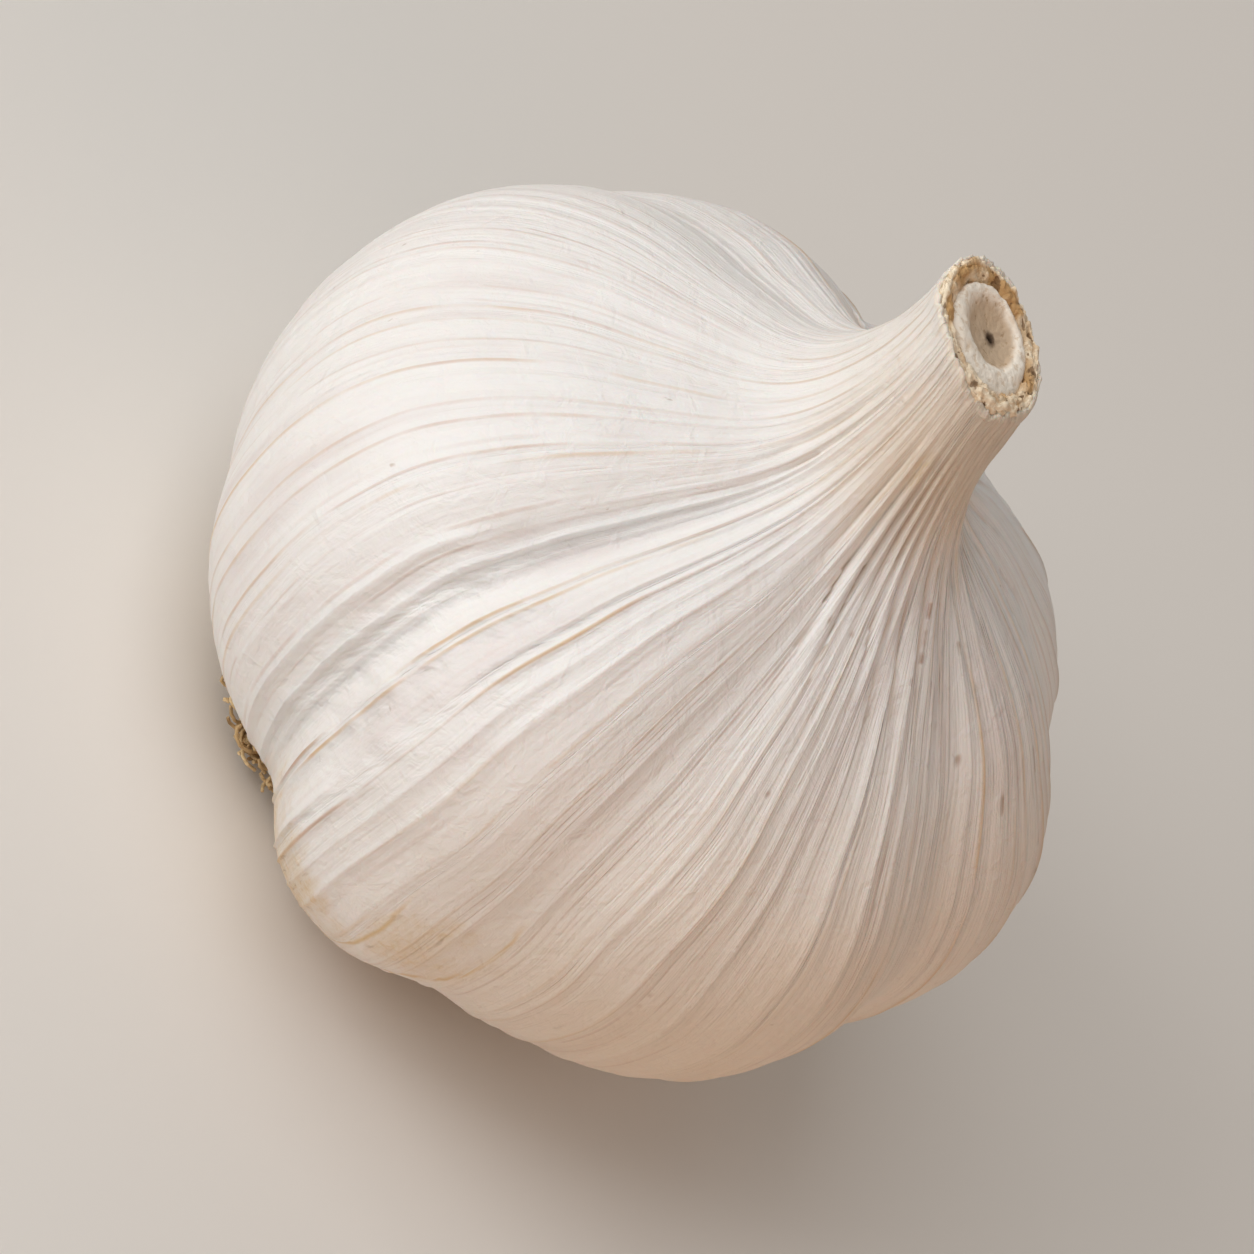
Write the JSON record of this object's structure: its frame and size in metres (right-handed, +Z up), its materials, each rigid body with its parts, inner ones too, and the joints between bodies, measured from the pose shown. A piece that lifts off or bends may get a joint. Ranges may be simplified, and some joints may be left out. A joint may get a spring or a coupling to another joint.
{
  "type": "garlic bulb",
  "caption": "Whole dry garlic bulb in veined white papery skin, with rounded clove lobes, a short cut neck and a tan root plate ringed by trimmed root stubs, standing on its roots.",
  "frame": {"origin": "centre of the flat spot under the root plate, on the surface that the bulb stands on", "axes": "+Z up along the bulb's axis towards the neck, -Y towards the viewer, and the neck leans a little towards -X"},
  "size_m": [0.0536, 0.0537, 0.0527],
  "materials": {
    "papery_skin": "dry papery skin with a soft sheen",
    "dried_sheaths": "dry and crumbling",
    "cut_stalk": "dry cut fibre",
    "dried_root": "dry and corky"
  },
  "bodies": {
    "root": {"bulb": "papery_skin", "neck_sheaths": "dried_sheaths", "stalk_core": "cut_stalk", "root_plate": "dried_root"}
  },
  "joints": []
}
